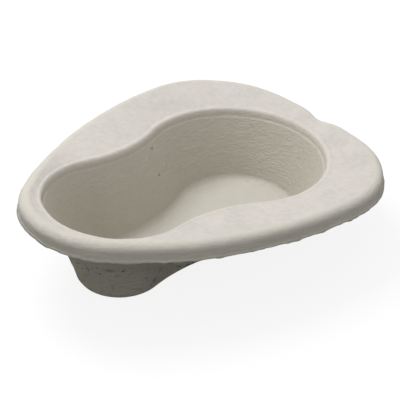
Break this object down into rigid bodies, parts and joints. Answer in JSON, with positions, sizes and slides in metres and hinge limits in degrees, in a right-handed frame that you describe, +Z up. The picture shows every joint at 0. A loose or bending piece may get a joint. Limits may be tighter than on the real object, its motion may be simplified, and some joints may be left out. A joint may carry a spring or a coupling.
{
  "type": "bedpan",
  "caption": "Disposable moulded-pulp bedpan with a keyhole bowl, broad seat flange and turned-down rim.",
  "frame": {"origin": "centre of the overall footprint, on the table under the flat floor", "axes": "+X from the narrow front end to the wide rear end, +Y to the left flange, +Z up"},
  "size_m": [0.3752, 0.3008, 0.107],
  "materials": {
    "moulded_pulp": "matt, finely fibrous, smooth on the upper face and coarse on the underside"
  },
  "bodies": {
    "root": {"bowl_floor": "moulded_pulp", "bowl_wall_front": "moulded_pulp", "bowl_wall_rear": "moulded_pulp", "opening_shoulder": "moulded_pulp", "flange_left": "moulded_pulp", "flange_front": "moulded_pulp", "flange_right": "moulded_pulp", "flange_rear": "moulded_pulp", "rim_skirt_front": "moulded_pulp", "rim_skirt_rear": "moulded_pulp"}
  },
  "joints": []
}
